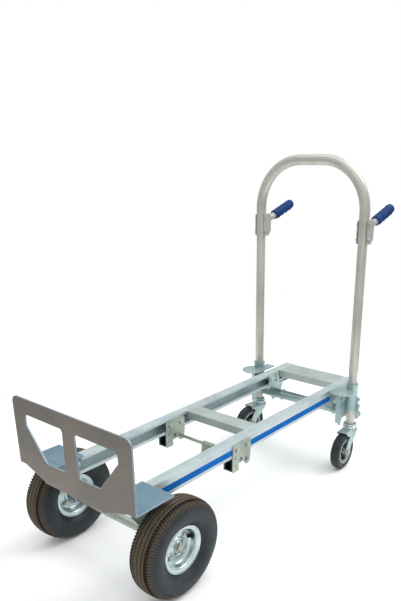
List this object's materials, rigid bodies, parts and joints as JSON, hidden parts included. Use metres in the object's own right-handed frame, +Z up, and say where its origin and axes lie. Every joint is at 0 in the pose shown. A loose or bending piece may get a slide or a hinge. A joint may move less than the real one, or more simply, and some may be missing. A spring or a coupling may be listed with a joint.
{
  "type": "convertible hand truck",
  "caption": "Convertible hand truck set up as a platform cart: twin rails, toe plate, pneumatic wheels, swivel casters and an upright loop handle with side grips.",
  "frame": {"origin": "on the floor, under the middle of the whole object with its deck level", "axes": "+X along the rails from the toe plate to the handle, +Y across to the left-hand side, +Z up"},
  "size_m": [1.2114, 0.5, 1.0335],
  "materials": {
    "aluminium_extrusion": "satin extruded",
    "aluminium_tube": "satin drawn tube",
    "toe_plate_alloy": "satin brushed",
    "blue_strip": "matte",
    "zinc_steel": "zinc plated",
    "blue_zinc_steel": "blue zinc plated",
    "polished_steel": "bright zinc",
    "blue_rubber": "moulded rubber",
    "black_plastic": "matte",
    "caster_rubber": "smooth rubber",
    "caster_core_grey": "moulded plastic",
    "tyre_rubber": "dusty rubber",
    "black_rubber": "matte"
  },
  "bodies": {
    "frame": {"rail_left": "aluminium_extrusion", "rail_right": "aluminium_extrusion", "rail_strip_left": "blue_strip", "rail_strip_right": "blue_strip", "mid_crossbar": "aluminium_extrusion", "end_crossbar": "aluminium_extrusion", "toe_plate": "toe_plate_alloy", "frame_bolts": "zinc_steel", "axle_bracket_left": "zinc_steel", "axle_bracket_right": "zinc_steel", "axle": "zinc_steel", "axle_washers": "zinc_steel", "lock_plate_outer_left": "zinc_steel", "lock_plate_outer_right": "zinc_steel", "lock_plate_inner_left": "zinc_steel", "lock_plate_inner_right": "zinc_steel", "slot_liners": "black_plastic", "pivot_saddle_left": "blue_zinc_steel", "pivot_saddle_right": "blue_zinc_steel", "pivot_bolts": "blue_zinc_steel", "cross_tube": "blue_zinc_steel"},
    "latch": {"latch_rod": "zinc_steel", "latch_hooks": "zinc_steel", "latch_lever": "zinc_steel"},
    "collars": {"collar_sleeve_left": "blue_zinc_steel", "collar_sleeve_right": "blue_zinc_steel", "collar_bracket_left": "blue_zinc_steel", "collar_bracket_right": "blue_zinc_steel", "collar_hooks": "blue_zinc_steel"},
    "handle": {"leg_left": "aluminium_tube", "leg_right": "aluminium_tube", "tie_rod": "blue_zinc_steel", "handle_loop": "aluminium_tube", "handle_bolts": "zinc_steel", "grip_arm_left": "aluminium_tube", "grip_arm_right": "aluminium_tube", "grip_left": "blue_rubber", "grip_right": "blue_rubber", "caster_stem_left": "blue_zinc_steel", "caster_stem_right": "blue_zinc_steel"},
    "wheel_left": {"tyre_left": "tyre_rubber", "rim_outer_left": "polished_steel", "rim_inner_left": "polished_steel", "hub_left": "polished_steel", "rim_bolts_left": "zinc_steel", "valve_left": "black_rubber"},
    "caster_left": {"caster_fork_left": "zinc_steel", "caster_axle_left": "zinc_steel"},
    "caster_wheel_left": {"caster_core_left": "caster_core_grey", "caster_tyre_left": "caster_rubber"},
    "wheel_right": {"tyre_right": "tyre_rubber", "rim_outer_right": "polished_steel", "rim_inner_right": "polished_steel", "hub_right": "polished_steel", "rim_bolts_right": "zinc_steel", "valve_right": "black_rubber"},
    "caster_right": {"caster_fork_right": "zinc_steel", "caster_axle_right": "zinc_steel"},
    "caster_wheel_right": {"caster_core_right": "caster_core_grey", "caster_tyre_right": "caster_rubber"}
  },
  "joints": [
    {"name": "wheel_left_spin", "type": "hinge", "parent": "frame", "child": "wheel_left", "pos_m": [-0.47475, 0.208, 0.13], "axis": [0, 1, 0], "continuous": true},
    {"name": "wheel_right_spin", "type": "hinge", "parent": "frame", "child": "wheel_right", "pos_m": [-0.47475, -0.208, 0.13], "axis": [0, 1, 0], "continuous": true},
    {"name": "collar_pivot", "type": "hinge", "parent": "frame", "child": "collars", "pos_m": [0.37925, 0, 0.254], "axis": [0, 1, 0], "range_deg": [0, 90]},
    {"name": "handle_slide", "type": "slide", "parent": "collars", "child": "handle", "axis": [0, 0, 1], "range_m": [-0.444, 0]},
    {"name": "latch_turn", "type": "hinge", "parent": "frame", "child": "latch", "pos_m": [-0.10875, 0, 0.204], "axis": [0, -1, 0], "range_deg": [0, 40], "stiffness_Nm_per_rad": 0.5, "springref_deg": -20.05},
    {"name": "caster_left_swivel", "type": "hinge", "parent": "handle", "child": "caster_left", "pos_m": [0.41925, 0.199, 0.131], "axis": [0, 0, 1], "continuous": true},
    {"name": "caster_left_roll", "type": "hinge", "parent": "caster_left", "child": "caster_wheel_left", "pos_m": [0.36987, 0.20682, 0.0635], "axis": [0.1564, 0.9877, 0], "continuous": true},
    {"name": "caster_right_swivel", "type": "hinge", "parent": "handle", "child": "caster_right", "pos_m": [0.41925, -0.199, 0.131], "axis": [0, 0, 1], "continuous": true},
    {"name": "caster_right_roll", "type": "hinge", "parent": "caster_right", "child": "caster_wheel_right", "pos_m": [0.36932, -0.20162, 0.0635], "axis": [-0.0523, 0.9986, 0], "continuous": true}
  ]
}
